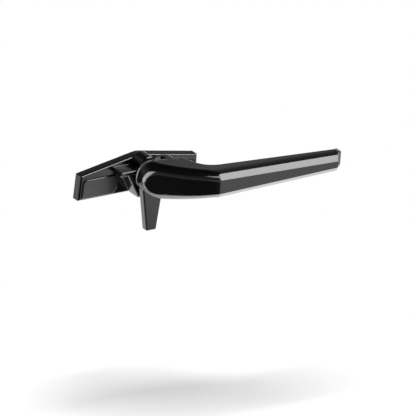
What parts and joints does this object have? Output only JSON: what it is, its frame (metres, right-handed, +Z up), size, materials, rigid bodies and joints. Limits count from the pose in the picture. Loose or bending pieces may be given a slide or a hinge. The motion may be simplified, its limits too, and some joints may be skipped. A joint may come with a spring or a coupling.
{
  "type": "window handle",
  "caption": "Black cam window handle: cranked bevelled lever and tapered tongue turning on a gabled screw-on base with covered fixings.",
  "frame": {"origin": "midway between the two fixing holes, on the mounting face", "axes": "+Y out of the mounting face into the window frame, +X along the base towards the lever's tip, +Z up"},
  "size_m": [0.1534, 0.0473, 0.0423],
  "materials": {
    "base_coat": "satin black powder coat",
    "cover_plastic": "satin black moulding",
    "bush_plastic": "self-coloured acetal",
    "spring_steel": "plain spring steel",
    "lever_coat": "satin black powder coat",
    "fastener_steel": "zinc plated"
  },
  "bodies": {
    "base": {"base_plate": "base_coat", "left_screw_cover": "cover_plastic", "right_screw_cover": "cover_plastic", "pivot_bush": "bush_plastic", "disc_spring": "spring_steel"},
    "lever": {"lever_handle": "lever_coat", "cam_tongue": "lever_coat", "retaining_washer": "fastener_steel", "retaining_screw": "fastener_steel"}
  },
  "joints": [
    {"name": "lever_turn", "type": "hinge", "parent": "base", "child": "lever", "pos_m": [0, 0, 0.007], "axis": [0, -1, 0], "range_deg": [0, 123]}
  ]
}
